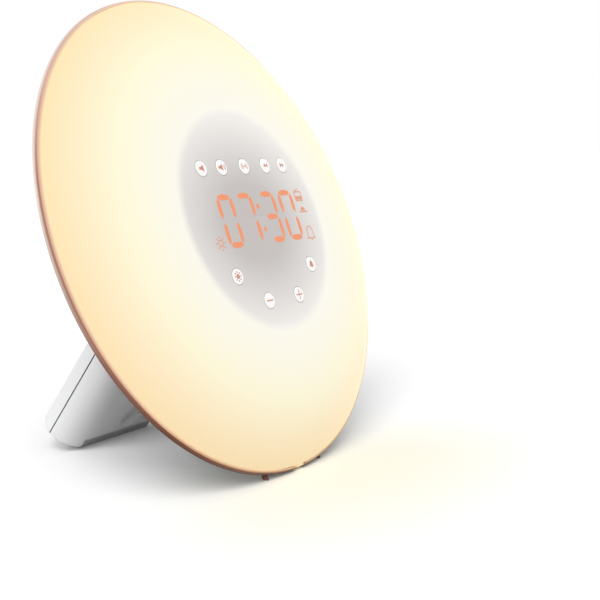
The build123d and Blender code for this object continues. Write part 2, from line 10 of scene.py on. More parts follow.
import bmesh
import bpy
import numpy as np
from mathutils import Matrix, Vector

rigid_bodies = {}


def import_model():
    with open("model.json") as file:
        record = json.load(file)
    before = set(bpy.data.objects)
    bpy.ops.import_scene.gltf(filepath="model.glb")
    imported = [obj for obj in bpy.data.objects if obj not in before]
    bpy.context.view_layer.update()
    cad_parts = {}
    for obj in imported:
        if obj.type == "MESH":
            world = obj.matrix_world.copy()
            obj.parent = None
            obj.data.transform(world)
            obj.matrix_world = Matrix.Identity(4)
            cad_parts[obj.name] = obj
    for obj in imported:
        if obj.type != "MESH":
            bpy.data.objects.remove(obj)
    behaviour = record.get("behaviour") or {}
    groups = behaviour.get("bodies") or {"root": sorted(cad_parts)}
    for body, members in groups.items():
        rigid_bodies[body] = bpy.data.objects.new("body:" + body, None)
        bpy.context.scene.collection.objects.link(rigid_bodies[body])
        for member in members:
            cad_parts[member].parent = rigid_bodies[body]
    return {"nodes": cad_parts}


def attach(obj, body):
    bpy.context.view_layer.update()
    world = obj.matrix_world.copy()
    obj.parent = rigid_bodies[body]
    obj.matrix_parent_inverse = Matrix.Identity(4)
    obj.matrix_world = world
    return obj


for leftover in list(bpy.data.objects):
    bpy.data.objects.remove(leftover)
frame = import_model()
bpy.context.view_layer.update()

# ------------------------------------------------------------ sizes, millimetres
MM = 0.001
HEAD_TILT = math.radians(21.0)
DISC_CENTRE = np.array([0.0, -15.540, 88.0566])
CROWN_TOP = 18.4             # middle of the diffuser, out of the ring's rear plane
CROWN_RADIUS = 1000.0        # it is nearly flat inside the figures and keys
KEY_STAND = 0.25
RING_CROSS = (0.5, 1.3)      # across its side the ring's tone changes between these heights
RING_TURN = (1.62, 1.86)     # the ring's side turns to its bevel between these, out of its rear plane
RING_LIP = (1.95, 2.3)       # the diffuser's light is painted on its lip between these, as a painted glow
LEG_FOOT = (0.0, 46.903, 7.059)
LEG_SLOPE = math.radians(53.8)
SEAM_SHADE_HALF = 0.24             # half width of the painted shade in the groove between the leg's shells
SEAM_SHADE_FADE = 0.04

KEYS = {
    "volume_down": (-26.1, 20.0), "volume_up": (-14.15, 20.0), "radio": (0.0, 20.0),
    "search_down": (14.15, 20.0), "search_up": (26.1, 20.0), "light": (-24.65, -20.8),
    "alarm": (24.65, -20.8), "minus": (-10.0, -31.55), "plus": (10.0, -31.55),
}


def srgb(red, green, blue):
    """Screen colour, 0 to 255, as the linear colour that sockets take."""
    value = np.array([red, green, blue]) / 255.0
    linear = np.where(value <= 0.04045, value / 12.92, ((value + 0.055) / 1.055) ** 2.4)
    return (*linear, 1.0)


def on_face(u, v, w):
    """Face coordinates (right, up the face, out of it) in mm to world metres."""
    u, v, w = np.broadcast_arrays(u, v, w)
    y = v * math.sin(HEAD_TILT) - w * math.cos(HEAD_TILT)
    z = v * math.cos(HEAD_TILT) + w * math.sin(HEAD_TILT)
    return (np.stack([u, y, z], axis=-1) + DISC_CENTRE) * MM


def crown_height(u, v, stand=0.0):
    """Height of the diffuser's flat crown, or of a surface that stands outside it:
    its top less what a sphere of the crown's radius drops at that distance from the middle."""
    ball = CROWN_RADIUS + stand
    return CROWN_TOP + stand - (ball - np.sqrt(ball ** 2 - u ** 2 - v ** 2))


# ------------------------------------------------------------ node groups
def new_group(name, inputs, outputs):
    """Empty shader group with these sockets: (name, kind, default)."""
    tree = bpy.data.node_groups.new(name, "ShaderNodeTree")
    for label, kind, default in inputs:
        socket = tree.interface.new_socket(name=label, in_out="INPUT", socket_type=kind)
        socket.default_value = default
    for label, kind in outputs:
        tree.interface.new_socket(name=label, in_out="OUTPUT", socket_type=kind)
    return tree, tree.nodes.new("NodeGroupInput"), tree.nodes.new("NodeGroupOutput")


def add(tree, kind, **values):
    """New node with its properties and input defaults set."""
    node = tree.nodes.new(kind)
    for key, value in values.items():
        if hasattr(node, key):
            setattr(node, key, value)
        else:
            node.inputs[key.replace("_", " ").title()].default_value = value
    return node


GRAIN_HEIGHT = 0.00008       # metres


def make_grain_group():
    """Moulded grain: fine noise gives the height, broad noise shifts tone and gloss."""
    tree, start, end = new_group(
        "moulded_grain",
        [("Color", "NodeSocketColor", (0.8, 0.8, 0.8, 1.0)), ("Shade", "NodeSocketColor", (0.7, 0.7, 0.7, 1.0)),
         ("Scale", "NodeSocketFloat", 1500.0), ("Depth", "NodeSocketFloat", 0.05),
         ("Gloss", "NodeSocketFloat", 0.4), ("Spread", "NodeSocketFloat", 0.08)],
        [("Color", "NodeSocketColor"), ("Roughness", "NodeSocketFloat"), ("Normal", "NodeSocketVector")])
    link = tree.links.new
    place = add(tree, "ShaderNodeTexCoord")
    broad = add(tree, "ShaderNodeTexNoise", scale=55.0, detail=3.0, roughness=0.55)
    fine = add(tree, "ShaderNodeTexNoise", detail=2.0, roughness=0.6)
    link(place.outputs["Object"], broad.inputs["Vector"])
    link(place.outputs["Object"], fine.inputs["Vector"])
    link(start.outputs["Scale"], fine.inputs["Scale"])
    mix = add(tree, "ShaderNodeMix", data_type="RGBA")
    link(broad.outputs["Fac"], mix.inputs[0])
    link(start.outputs["Color"], mix.inputs[6])
    link(start.outputs["Shade"], mix.inputs[7])
    link(mix.outputs[2], end.inputs["Color"])
    swing = add(tree, "ShaderNodeMath", operation="MULTIPLY_ADD")
    centred = add(tree, "ShaderNodeMath", operation="SUBTRACT")
    centred.inputs[1].default_value = 0.5
    link(broad.outputs["Fac"], centred.inputs[0])
    link(centred.outputs[0], swing.inputs[0])
    link(start.outputs["Spread"], swing.inputs[1])
    link(start.outputs["Gloss"], swing.inputs[2])
    link(swing.outputs[0], end.inputs["Roughness"])
    bump = add(tree, "ShaderNodeBump")
    bump.inputs["Distance"].default_value = GRAIN_HEIGHT
    link(start.outputs["Depth"], bump.inputs["Strength"])
    link(fine.outputs["Fac"], bump.inputs["Height"])
    link(bump.outputs["Normal"], end.inputs["Normal"])
    return tree


GRAIN = make_grain_group()


def new_material(name):
    """Material with an empty tree but for its output and Principled shader."""
    material = bpy.data.materials.new(name)
    material.use_nodes = True
    tree = material.node_tree
    shader = tree.nodes["Principled BSDF"]
    return material, tree, shader


def grained(name, color, shade, gloss, scale=1500.0, depth=0.05, metallic=0.0):
    """A rigid finish with moulded grain, from two close tones."""
    material, tree, shader = new_material(name)
    grain = add(tree, "ShaderNodeGroup", node_tree=GRAIN)
    for label, value in (("Color", srgb(*color)), ("Shade", srgb(*shade)), ("Scale", scale),
                         ("Depth", depth), ("Gloss", gloss)):
        grain.inputs[label].default_value = value
    tree.links.new(grain.outputs["Color"], shader.inputs["Base Color"])
    tree.links.new(grain.outputs["Roughness"], shader.inputs["Roughness"])
    tree.links.new(grain.outputs["Normal"], shader.inputs["Normal"])
    shader.inputs["Metallic"].default_value = metallic
    return material


def tilted_coordinates(tree, origin, tilt):
    """Node whose X, Y and Z are each point's place, in metres, in a frame that leans back by this
    tilt: right, up the slope, out of it.  The origin is in mm."""
    place = add(tree, "ShaderNodeTexCoord")
    turn = add(tree, "ShaderNodeMapping", vector_type="TEXTURE")
    turn.inputs["Location"].default_value = tuple(c * MM for c in origin)
    turn.inputs["Rotation"].default_value = (math.pi / 2 - tilt, 0.0, 0.0)
    tree.links.new(place.outputs["Object"], turn.inputs["Vector"])
    split = add(tree, "ShaderNodeSeparateXYZ")
    tree.links.new(turn.outputs["Vector"], split.inputs[0])
    return split


def dimmed(tree, color, share):
    """Node output: the colour at this share of its strength."""
    dim = add(tree, "ShaderNodeMix", data_type="RGBA", blend_type="MULTIPLY")
    dim.inputs[0].default_value = 1.0
    dim.inputs[7].default_value = (share,) * 3 + (1.0,)
    tree.links.new(color, dim.inputs[6])
    return dim.outputs[2]


# distance from the middle in mm, colour of the lit diffuser there: nearly white, then warmer outwards
GLOW = (
    (40.0, (253, 250, 241)), (56.0, (253, 250, 231)), (70.0, (255, 248, 217)), (84.0, (255, 235, 196)),
    (93.0, (254, 227, 180)),
)
# the same, as painted shade, inside the display cup, which is wider than high and a little to the left
CUP_SHADE = ((0.0, (199, 191, 189)), (15.0, (200, 195, 192)), (30.0, (225, 221, 218)), (41.0, (242, 239, 235)))
CUP_MIDDLE = (-5.0, -1.6)
CUP_STRETCH = 1.22
CUP_RIM_MIDDLE = (-0.9, -0.3)
CUP_RIM = (39.8, 45.0)       # the cup's painted shade fades out between these
GLOW_SHARE = 0.8             # of the colour, what isn't left to the studio's light
GLOW_LIGHT = 0.785


def face_distance(tree, split, middle, stretch=1.0):
    """Node output: distance on the face from a middle point, the width shrunk by the stretch."""
    apart = []
    for axis, place, factor in (("X", middle[0], 1 / stretch), ("Y", middle[1], 1.0)):
        shift = add(tree, "ShaderNodeMath", operation="MULTIPLY_ADD")
        shift.inputs[1].default_value = factor / MM
        shift.inputs[2].default_value = -place * factor
        tree.links.new(split.outputs[axis], shift.inputs[0])
        apart.append(shift)
    flat = add(tree, "ShaderNodeCombineXYZ")
    tree.links.new(apart[0].outputs[0], flat.inputs["X"])
    tree.links.new(apart[1].outputs[0], flat.inputs["Y"])
    length = add(tree, "ShaderNodeVectorMath", operation="LENGTH")
    tree.links.new(flat.outputs[0], length.inputs[0])
    return length.outputs["Value"]


def color_ramp(tree, value, stops):
    """Node output: colour by value, straight between the stops."""
    first, last = stops[0][0], stops[-1][0]
    share = add(tree, "ShaderNodeMapRange")
    share.inputs["From Min"].default_value = first
    share.inputs["From Max"].default_value = last
    tree.links.new(value, share.inputs["Value"])
    ramp = add(tree, "ShaderNodeValToRGB")
    elements = ramp.color_ramp.elements
    while len(elements) < len(stops):
        elements.new(0.5)
    for element, (place, color) in zip(elements, stops):
        element.position = (place - first) / (last - first)
        element.color = srgb(*color)
    tree.links.new(share.outputs[0], ramp.inputs[0])
    return ramp.outputs[0]


def mix_between(tree, value, limits, low, high):
    """Mix node that turns from one colour to another while the value, in metres, passes the limits."""
    share = add(tree, "ShaderNodeMapRange", interpolation_type="SMOOTHSTEP")
    share.inputs["From Min"].default_value = limits[0] * MM
    share.inputs["From Max"].default_value = limits[1] * MM
    tree.links.new(value, share.inputs["Value"])
    mix = add(tree, "ShaderNodeMix", data_type="RGBA")
    tree.links.new(share.outputs[0], mix.inputs[0])
    for socket, color in ((6, low), (7, high)):
        if isinstance(color, tuple):
            mix.inputs[socket].default_value = color
        else:
            tree.links.new(color, mix.inputs[socket])
    return mix


def make_glow_material():
    """Lit diffuser: its colour follows the distance from the middle of the face, with the soft
    painted shade of the display cup inside, and most of that colour is given off as light."""
    material, tree, shader = new_material("lit_diffuser")
    split = tilted_coordinates(tree, DISC_CENTRE, HEAD_TILT)
    lit = color_ramp(tree, face_distance(tree, split, (0.0, 0.0)), GLOW)
    # painted shade of the display cup, darker towards its middle
    shaded = color_ramp(tree, face_distance(tree, split, CUP_MIDDLE, CUP_STRETCH), CUP_SHADE)
    fade = add(tree, "ShaderNodeMapRange", interpolation_type="SMOOTHSTEP")
    fade.inputs["From Min"].default_value = CUP_RIM[0]
    fade.inputs["From Max"].default_value = CUP_RIM[1]
    tree.links.new(face_distance(tree, split, CUP_RIM_MIDDLE), fade.inputs["Value"])
    both = add(tree, "ShaderNodeMix", data_type="RGBA")
    tree.links.new(fade.outputs[0], both.inputs[0])
    tree.links.new(shaded, both.inputs[6])
    tree.links.new(lit, both.inputs[7])
    tree.links.new(dimmed(tree, both.outputs[2], 1 - GLOW_SHARE), shader.inputs["Base Color"])
    tree.links.new(both.outputs[2], shader.inputs["Emission Color"])
    shader.inputs["Emission Strength"].default_value = GLOW_LIGHT
    shader.inputs["Roughness"].default_value = 0.3
    shader.inputs["Specular IOR Level"].default_value = 0.08
    return material


# height up the face in mm, tone of the ring there, with painted reflection: shade painted brown low, a highlight
# painted pale high: by its rear edge, by its bevel, and on the bevel
RING_REAR_SHADING = ((-66.0, (107, 74, 62)), (-40.0, (136, 99, 84)), (20.0, (243, 227, 217)), (94.0, (236, 218, 208)))
RING_SIDE_SHADING = ((-66.0, (120, 79, 63)), (-30.0, (166, 121, 102)), (24.0, (180, 134, 115)), (60.0, (220, 182, 163)))
RING_BEVEL_SHADING = ((-94.0, (182, 144, 118)), (-66.0, (217, 176, 151)), (40.0, (230, 187, 165)), (94.0, (230, 204, 187)))


def make_copper_material():
    """Satin copper with painted reflection: painted shade brown low on the ring, a painted pale rose highlight high
    on it, a paler bevel, and the diffuser's glow painted on its lip.
    """
    material, tree, shader = new_material("satin_copper")
    split = tilted_coordinates(tree, DISC_CENTRE, HEAD_TILT)
    height = add(tree, "ShaderNodeMath", operation="DIVIDE")
    height.inputs[1].default_value = MM
    tree.links.new(split.outputs["Y"], height.inputs[0])
    # painted reflection: the tone follows the height up the face, darker low and paler high
    rear, front, bevel = (color_ramp(tree, height.outputs[0], stops) for stops in (RING_REAR_SHADING, RING_SIDE_SHADING, RING_BEVEL_SHADING))
    side = mix_between(tree, split.outputs["Z"], RING_CROSS, rear, front)
    body = mix_between(tree, split.outputs["Z"], RING_TURN, side.outputs[2], bevel)
    # painted glow of the diffuser's light on the ring's lip
    tone = mix_between(tree, split.outputs["Z"], RING_LIP, body.outputs[2], srgb(247, 213, 181))
    shade = add(tree, "ShaderNodeMix", data_type="RGBA", blend_type="MULTIPLY")
    shade.inputs[0].default_value = 1.0
    shade.inputs[7].default_value = (0.93, 0.92, 0.91, 1.0)
    tree.links.new(tone.outputs[2], shade.inputs[6])
    grain = add(tree, "ShaderNodeGroup", node_tree=GRAIN)
    for label, value in (("Scale", 900.0), ("Depth", 0.03), ("Gloss", 0.3), ("Spread", 0.06)):
        grain.inputs[label].default_value = value
    tree.links.new(tone.outputs[2], grain.inputs["Color"])
    tree.links.new(shade.outputs[2], grain.inputs["Shade"])
    tree.links.new(grain.outputs["Color"], shader.inputs["Base Color"])
    tree.links.new(grain.outputs["Roughness"], shader.inputs["Roughness"])
    tree.links.new(grain.outputs["Normal"], shader.inputs["Normal"])
    shader.inputs["Metallic"].default_value = 1.0
    return material


LIT_SHADE = 0.96


def make_lit_material(name, color, share):
    """A mark that is lit from behind: this share of its colour is given off as light."""
    material, tree, shader = new_material(name)
    noise = add(tree, "ShaderNodeTexNoise", scale=600.0, detail=1.0)
    place = add(tree, "ShaderNodeTexCoord")
    tree.links.new(place.outputs["Object"], noise.inputs["Vector"])
    mix = add(tree, "ShaderNodeMix", data_type="RGBA")
    low = tuple(c * LIT_SHADE for c in color)
    mix.inputs[6].default_value = srgb(*color)
    mix.inputs[7].default_value = srgb(*low)
    tree.links.new(noise.outputs["Fac"], mix.inputs[0])
    tree.links.new(dimmed(tree, mix.outputs[2], 1 - share), shader.inputs["Base Color"])
    tree.links.new(mix.outputs[2], shader.inputs["Emission Color"])
    shader.inputs["Emission Strength"].default_value = share
    shader.inputs["Roughness"].default_value = 0.45
    return material


def make_leg_material():
    """White moulding with painted shade in the groove where the leg's two shells meet: the distance
    from their joint plane, in the leg's own frame, turns it from dark to white."""
    material = grained("white_leg", (248, 248, 248), (243, 243, 244), 0.36, scale=2600.0, depth=0.04)
    tree = material.node_tree
    shader = tree.nodes["Principled BSDF"]
    split = tilted_coordinates(tree, LEG_FOOT, LEG_SLOPE)
    apart = add(tree, "ShaderNodeMath", operation="ABSOLUTE")
    tree.links.new(split.outputs["Y"], apart.inputs[0])
    moulded = shader.inputs["Base Color"].links[0].from_socket
    # painted shade along the groove between the shells
    seam_shade = mix_between(tree, apart.outputs[0], (SEAM_SHADE_HALF, SEAM_SHADE_HALF + SEAM_SHADE_FADE), srgb(100, 100, 102), moulded)
    tree.links.new(seam_shade.outputs[2], shader.inputs["Base Color"])
    return material


white = grained("white_shell", (246, 246, 246), (241, 241, 242), 0.36, scale=2600.0, depth=0.04)
FINISHES = {
    "glow_diffuser": make_glow_material(),
    "copper_trim": make_copper_material(),
    "white_housing": white,
    # the caps glow as if lit from behind; this glow is painted light that keeps them evenly white
    "white_keys": make_lit_material("white_cap_painted_glow", (253, 252, 251), 0.65),
    "white_inner": grained("reflector_white", (238, 238, 234), (230, 230, 226), 0.5),
    "grey_tub": grained("tub_grey", (96, 97, 99), (84, 85, 88), 0.55),
    "segment_orange": make_lit_material("segment_light", (244, 150, 106), 0.5),
    "board_green": grained("board_mask", (40, 96, 62), (30, 78, 50), 0.38, scale=700.0),
    "board_white": grained("lamp_board", (228, 229, 224), (214, 216, 210), 0.42),
    "led_package": grained("led_lens", (250, 232, 150), (244, 222, 128), 0.3),
    "black_parts": grained("black_moulding", (34, 34, 36), (24, 24, 26), 0.4),
    "plunger_nylon": grained("plunger_nylon", (214, 212, 204), (204, 202, 194), 0.5),
    "cone_paper": grained("cone_paper", (50, 48, 46), (38, 36, 35), 0.85, scale=900.0, depth=0.3),
    "ferrite": grained("ferrite", (58, 58, 60), (44, 44, 47), 0.6, scale=1200.0, depth=0.2),
    "tin_can": grained("tin_can", (196, 198, 200), (180, 182, 186), 0.32, metallic=1.0),
    "flex_film": grained("flex_film", (188, 110, 42), (168, 94, 34), 0.35),
    "screw_steel": grained("screw_steel", (182, 184, 188), (160, 162, 168), 0.3, metallic=1.0),
    "dark_rubber": grained("grey_rubber", (226, 226, 227), (214, 215, 216), 0.7, scale=1800.0, depth=0.12),
    "foot_rubber": grained("foot_rubber", (132, 90, 76), (116, 76, 64), 0.6),
}
leg_white = make_leg_material()
for name, node in frame["nodes"].items():
    for slot in node.material_slots:
        slot.material = FINISHES[slot.material.name.split(".")[0]]
        if name in ("leg_front_shell", "leg_rear_shell"):
            slot.material = leg_white

# ------------------------------------------------------------ strokes on the face
STROKE_LIFT = 0.035
STROKE_DEPTH = 0.09


class Marks:
    """Collects strokes that lie on one surface of the face and makes them one piece."""

    def __init__(self, stand=0.0, lift=STROKE_LIFT):
        self.points, self.faces, self.count = [], [], 0
        self.stand, self.lift = stand, lift

    def stroke(self, path, left, right, closed=False):
        """A band along a path of (u, v): its edges lie left and right of the path by the given
        half widths, square to it, and its four corners are carried along it as a closed shell."""
        path = np.asarray(path, float)
        if closed:
            ahead, behind = np.roll(path, -1, axis=0), np.roll(path, 1, axis=0)
            way = ahead - behind
        else:
            way = np.gradient(path, axis=0)
        way /= np.linalg.norm(way, axis=1, keepdims=True)
        side = np.stack([-way[:, 1], way[:, 0]], axis=1)
        left = np.broadcast_to(left, len(path))[:, None]
        right = np.broadcast_to(right, len(path))[:, None]
        one, two = path + side * left, path - side * right
        corners = []
        for edge, low in ((one, 0.0), (two, 0.0), (two, STROKE_DEPTH), (one, STROKE_DEPTH)):
            height = crown_height(edge[:, 0], edge[:, 1], self.stand) + self.lift - low
            corners.append(on_face(edge[:, 0], edge[:, 1], height))
        points = np.stack(corners, axis=1).reshape(-1, 3)
        n = len(path)
        row = np.arange(n if closed else n - 1)
        after = (row + 1) % n
        for k in range(4):
            m = (k + 1) % 4
            quads = np.stack([row * 4 + k, row * 4 + m, after * 4 + m, after * 4 + k], axis=1)
            self.faces += (quads + self.count).tolist()
        if not closed:
            last = (n - 1) * 4
            self.faces.append([self.count + k for k in (3, 2, 1, 0)])
            self.faces.append([self.count + last + k for k in (0, 1, 2, 3)])
        self.points.append(points)
        self.count += len(points)

    def line(self, start, end, width, steps=6):
        """A straight stroke of even width."""
        t = np.linspace(0, 1, steps)[:, None]
        path = np.array(start) * (1 - t) + np.array(end) * t
        self.stroke(path, width / 2, width / 2)

    def arc(self, centre, radius, first, last, width, steps=25):
        """Part of a circle, from the first to the last angle in degrees."""
        whole = abs(last - first) >= 360
        angle = np.radians(np.linspace(first, last, steps, endpoint=not whole))
        path = np.stack([centre[0] + radius * np.cos(angle), centre[1] + radius * np.sin(angle)], axis=1)
        self.stroke(path, width / 2, width / 2, closed=whole)

    def spread(self, start, end, halves):
        """Filled shape along a straight axis, from its half widths at even steps."""
        halves = np.asarray(halves, float)
        t = np.linspace(0, 1, len(halves))[:, None]
        path = np.array(start) * (1 - t) + np.array(end) * t
        self.stroke(path, halves, halves)

    def dot(self, centre, radius, steps=15):
        """Filled disc: half widths of a circle along its own diameter."""
        x = -np.cos(np.linspace(0.05, math.pi - 0.05, steps))
        path = np.stack([centre[0] + radius * x, np.full(steps, centre[1])], axis=1)
        half = radius * np.sqrt(1 - x ** 2)
        self.stroke(path, half, half)

    def piece(self, name, body, material):
        """Makes all strokes one object that rides on this body."""
        mesh = bpy.data.meshes.new(name)
        mesh.from_pydata(np.concatenate(self.points).tolist(), [], self.faces)
        mesh.materials.append(material)
        mesh.validate()
        made = bpy.data.objects.new(name, mesh)
        bpy.context.scene.collection.objects.link(made)
        recalculate(mesh)
        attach(made, body)
        return made


def recalculate(mesh):
    """Every face of the closed strokes is turned outwards."""
    work = bmesh.new()
    work.from_mesh(mesh)
    bmesh.ops.recalc_face_normals(work, faces=work.faces)
    work.to_mesh(mesh)
    work.free()


def lit_segment(marks, start, end, outer, inner, steps=21):
    """One lit stroke of a figure: its outer edge, on the left of its way, is arched, and its
    inner edge is straight with cut ends."""
    t = np.linspace(0, 1, steps)
    path = np.array(start)[None] * (1 - t)[:, None] + np.array(end)[None] * t[:, None]
    arch = np.clip(1 - (2 * t - 1) ** 2, 0, 1) ** 0.6
    ends = np.clip(np.minimum(t, 1 - t) / 0.14, 0, 1)
    marks.stroke(path, outer * np.maximum(arch, 0.04), inner * np.maximum(ends, 0.04))


# left and right strokes of each figure, and which strokes are lit
FIGURES = ((-22.85, -15.05, "abcdef"), (-10.6, -2.75, "abc"), (4.3, 12.15, "abcdg"), (16.8, 25.1, "abcdef"))
TOP, MIDDLE, BOTTOM = 8.72, -0.25, -9.45
BAR_HALF = 1.12              # half thickness of the level strokes
POST_HALF = 0.98             # and of the upright ones
UPPER_POST, LOWER_POST = (0.72, 8.35), (-1.05, -9.0)
BAR_INSET = 0.3              # level strokes end this far inside the upright ones' middles
COLON = ((0.62, 4.1), (0.88, -4.9))
COLON_DOT = 0.95


def make_figures():
    """The lit time: each figure's strokes run clockwise round it, so their outer edges are left."""
    marks = Marks()
    for left, right, lit in FIGURES:
        inner, outer = left + BAR_INSET, right - BAR_INSET
        strokes = {
            "a": ((inner, TOP), (outer, TOP), BAR_HALF),
            "b": ((right, UPPER_POST[1]), (right, UPPER_POST[0]), POST_HALF),
            "c": ((right, LOWER_POST[0]), (right, LOWER_POST[1]), POST_HALF),
            "d": ((outer, BOTTOM), (inner, BOTTOM), BAR_HALF),
            "e": ((left, LOWER_POST[1]), (left, LOWER_POST[0]), POST_HALF),
            "f": ((left, UPPER_POST[0]), (left, UPPER_POST[1]), POST_HALF),
            "g": ((inner, MIDDLE), (outer, MIDDLE), BAR_HALF),
        }
        for key in lit:
            start, end, half = strokes[key]
            lit_segment(marks, start, end, half, half)
    for place in COLON:
        marks.dot(place, COLON_DOT)
    marks.piece("lit_figures", "housing", FINISHES["segment_orange"])


SIGN_STROKE = 0.5


def make_sun_sign(marks, middle, core, first, last, filled):
    """A disc or ring with eight rays round it."""
    if filled:
        marks.dot(middle, core)
    else:
        marks.arc(middle, core, 0, 360, SIGN_STROKE)
    for k in range(8):
        way = np.array([math.cos(k * math.pi / 4), math.sin(k * math.pi / 4)])
        marks.line(middle + first * way, middle + last * way, SIGN_STROKE, steps=4)


def make_bell_outline(marks, middle):
    """Round top, two flared sides, a base line and the clapper under it."""
    x, y = middle
    marks.arc((x, y + 0.7), 2.05, 12, 168, SIGN_STROKE, steps=19)
    for side in (-1, 1):
        path = [(x + side * 2.02, y + 1.1), (x + side * 2.12, y - 0.4), (x + side * 2.55, y - 1.9)]
        if side < 0:
            path.reverse()
        marks.stroke(path, SIGN_STROKE / 2, SIGN_STROKE / 2)
    marks.line((x - 2.9, y - 2.05), (x + 2.9, y - 2.05), SIGN_STROKE)
    marks.spread((x - 0.6, y - 2.75), (x + 0.6, y - 2.75), (0.08, 0.2, 0.25, 0.2, 0.08))


def make_radio_sign(marks, middle):
    """A set with a filled lower half, a dial line and a leaning aerial."""
    x, y = middle
    half, low, high = 2.42, y - 2.05, y + 1.6
    corners = [(x - half, low), (x + half, low), (x + half, high), (x - half, high)]
    for k in range(4):
        marks.line(corners[k], corners[(k + 1) % 4], SIGN_STROKE)
    marks.line((x - half, y - 0.9), (x + half, y - 0.9), 1.5)
    marks.line((x - 2.0, y + 1.9), (x + 1.0, y + 2.75), SIGN_STROKE * 0.8)


def make_dawn_sign(marks, middle):
    """Half a disc that comes up over a level line."""
    x, y = middle
    marks.line((x - 3.0, y - 0.95), (x + 3.0, y - 0.95), SIGN_STROKE)
    angle = np.linspace(0.08, math.pi - 0.08, 13)
    path = np.stack([x - 1.6 * np.cos(angle), np.full(13, y - 0.5)], axis=1)
    marks.stroke(path, 1.6 * np.sin(angle), 0.02)


def make_side_signs():
    """The lit signs round the time: light, alarm, radio and morning."""
    marks = Marks()
    make_sun_sign(marks, np.array([-28.3, -8.05]), 1.2, 1.9, 2.8, False)
    make_bell_outline(marks, (31.4, -8.45))
    make_radio_sign(marks, (30.9, 7.1))
    make_dawn_sign(marks, (31.3, 1.35))
    marks.piece("side_signs", "housing", make_lit_material("side_sign_light", (226, 158, 126), 0.6))


# ------------------------------------------------------------ marks printed on the key caps
def print_speaker(marks, x, y):
    """A small box that flares into a cone."""
    marks.spread((x - 1.35, y), (x + 1.1, y), (0.5, 0.52, 0.5, 0.75, 1.05, 1.4))


def print_waves(marks, x, y, sides):
    """Two arcs on each of the given sides, 1 for right and -1 for left."""
    for side in sides:
        middle = 0 if side > 0 else 180
        for radius in (1.0, 1.75):
            marks.arc((x, y), radius, middle - 42, middle + 42, 0.32, steps=9)


def print_arrows(marks, x, y, way):
    """Two filled triangles that point the same way."""
    for shift in (-0.75, 0.75):
        tip = x + way * (shift + 0.65)
        marks.spread((tip - way * 1.45, y), (tip, y), (0.9, 0.6, 0.3, 0.03))


def print_bell(marks, x, y):
    """A filled bell, from its flared rim up to its crown, and the clapper below."""
    marks.stroke([(x, y - 1.05), (x, y - 0.8), (x, y - 0.3), (x, y + 0.5), (x, y + 1.0), (x, y + 1.4)],
                 (1.5, 1.3, 1.1, 1.0, 0.7, 0.12), (1.5, 1.3, 1.1, 1.0, 0.7, 0.12))
    marks.spread((x - 0.45, y - 1.4), (x + 0.45, y - 1.4), (0.06, 0.2, 0.06))


KEY_GAP_MIDDLE = 3.13        # radius of the painted shade line in the gap round each cap
KEY_GAP_LINE = 0.2
KEY_GAP_LIFT = 0.012
PRINT_LIFT = 0.02
SIGN_BAR = 0.5               # stroke and half length of the plus and minus
SIGN_REACH = 2.0


def make_gap_shade_rings():
    """Painted shade: a fine dark line on the diffuser where the gap round each cap lies in shadow."""
    marks = Marks(lift=KEY_GAP_LIFT)
    for x, y in KEYS.values():
        marks.arc((x, y), KEY_GAP_MIDDLE, 0, 360, KEY_GAP_LINE, steps=48)
    marks.piece("gap_shade_rings", "housing", grained("gap_shade", (150, 143, 139), (140, 134, 131), 0.6))


def make_key_marks():
    """One printed mark on each cap, which rides with its key."""
    # the printed marks glow too: painted light that keeps the print bright
    ink = make_lit_material("printed_mark", (208, 138, 114), 0.5)
    for name, (x, y) in KEYS.items():
        marks = Marks(stand=KEY_STAND, lift=PRINT_LIFT)
        if name == "volume_down":
            print_speaker(marks, x, y)
        elif name == "volume_up":
            print_speaker(marks, x - 0.65, y)
            print_waves(marks, x + 0.35, y, (1,))
        elif name == "radio":
            marks.dot((x, y), 0.4, steps=9)
            print_waves(marks, x, y, (-1, 1))
        elif name in ("search_down", "search_up"):
            print_arrows(marks, x, y, -1 if name == "search_down" else 1)
        elif name == "light":
            make_sun_sign(marks, np.array([x, y]), 0.95, 1.3, 1.95, True)
        elif name == "alarm":
            print_bell(marks, x, y)
        else:
            marks.line((x - SIGN_REACH, y), (x + SIGN_REACH, y), SIGN_BAR)
            if name == "plus":
                marks.line((x, y - SIGN_REACH), (x, y - 0.3), SIGN_BAR)
                marks.line((x, y + 0.3), (x, y + SIGN_REACH), SIGN_BAR)
        marks.piece(name + "_mark", name + "_key", ink)


make_figures()
make_side_signs()
make_gap_shade_rings()
make_key_marks()

# ------------------------------------------------------------ camera
CAMERA_AZIMUTH = math.radians(-57.6416)
CAMERA_HEIGHT = math.radians(7.9281)
CAMERA_DISTANCE = 460.657
CAMERA_ASIDE = (29.3892, -25.8400)
SENSOR_WIDTH = 36.0
CAMERA_LENS = SENSOR_WIDTH * 1205.112 / 600     # focal length over the frame's width, both in pixels


def make_camera():
    """Looks past the disc's middle by the given amounts, right and up in the picture."""
    a, e = CAMERA_AZIMUTH, CAMERA_HEIGHT
    back = np.array([math.sin(a) * math.cos(e), -math.cos(a) * math.cos(e), math.sin(e)])
    right = np.array([math.cos(a), math.sin(a), 0.0])
    up = np.cross(back, right)
    place = DISC_CENTRE + back * CAMERA_DISTANCE + right * CAMERA_ASIDE[0] + up * CAMERA_ASIDE[1]
    data = bpy.data.cameras.new("studio_camera")
    data.lens, data.sensor_width = CAMERA_LENS, SENSOR_WIDTH
    data.clip_start, data.clip_end = 0.01, 100.0
    camera = bpy.data.objects.new("studio_camera", data)
    camera.location = place * MM
    camera.rotation_mode = "QUATERNION"
    camera.rotation_quaternion = Vector(-back).to_track_quat("-Z", "Y")
    bpy.context.scene.collection.objects.link(camera)
    bpy.context.scene.camera = camera


make_camera()

